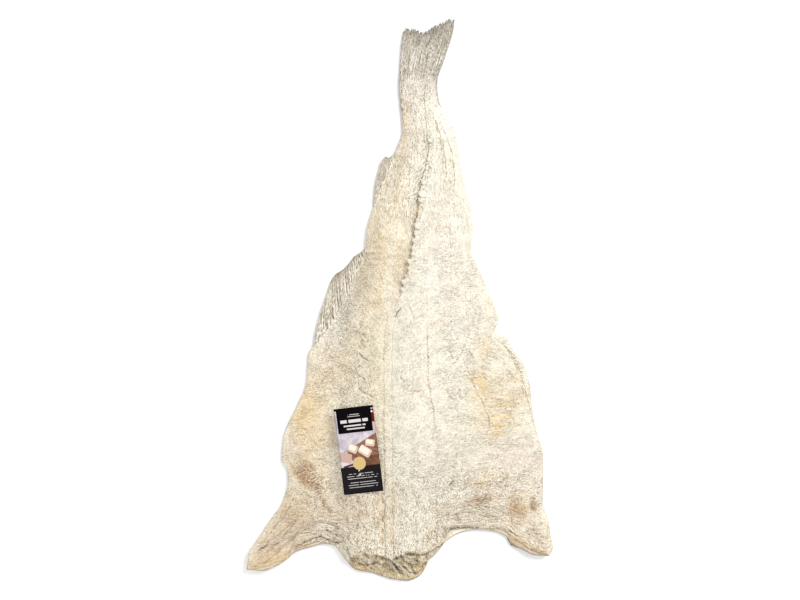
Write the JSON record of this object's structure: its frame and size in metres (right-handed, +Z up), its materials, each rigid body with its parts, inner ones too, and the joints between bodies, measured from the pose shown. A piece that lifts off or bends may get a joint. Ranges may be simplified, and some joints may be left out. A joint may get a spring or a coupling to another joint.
{
  "type": "salted dried cod",
  "caption": "Whole split cod, headless, salted and dried flat: pale crinkled flesh side up, tail and side fins kept, with a small printed card tag lying on it.",
  "frame": {"origin": "under the middle of the fish's bounding box, on the surface that it lies on", "axes": "+Y towards the tail, +X to the right when looking down on the fish with its tail away from the viewer, +Z up out of the flesh side"},
  "size_m": [0.429, 0.792, 0.0364],
  "materials": {
    "dried_cod": "matt, crinkled and dusted with salt",
    "cod_skin": "matt, mottled and dry",
    "dried_fin": "matt, thin and ribbed by its rays",
    "sea_salt": "dull white crystals",
    "printed_card": "satin laminated card"
  },
  "bodies": {
    "root": {"cod": "dried_cod", "card_tag": "printed_card"}
  },
  "joints": []
}
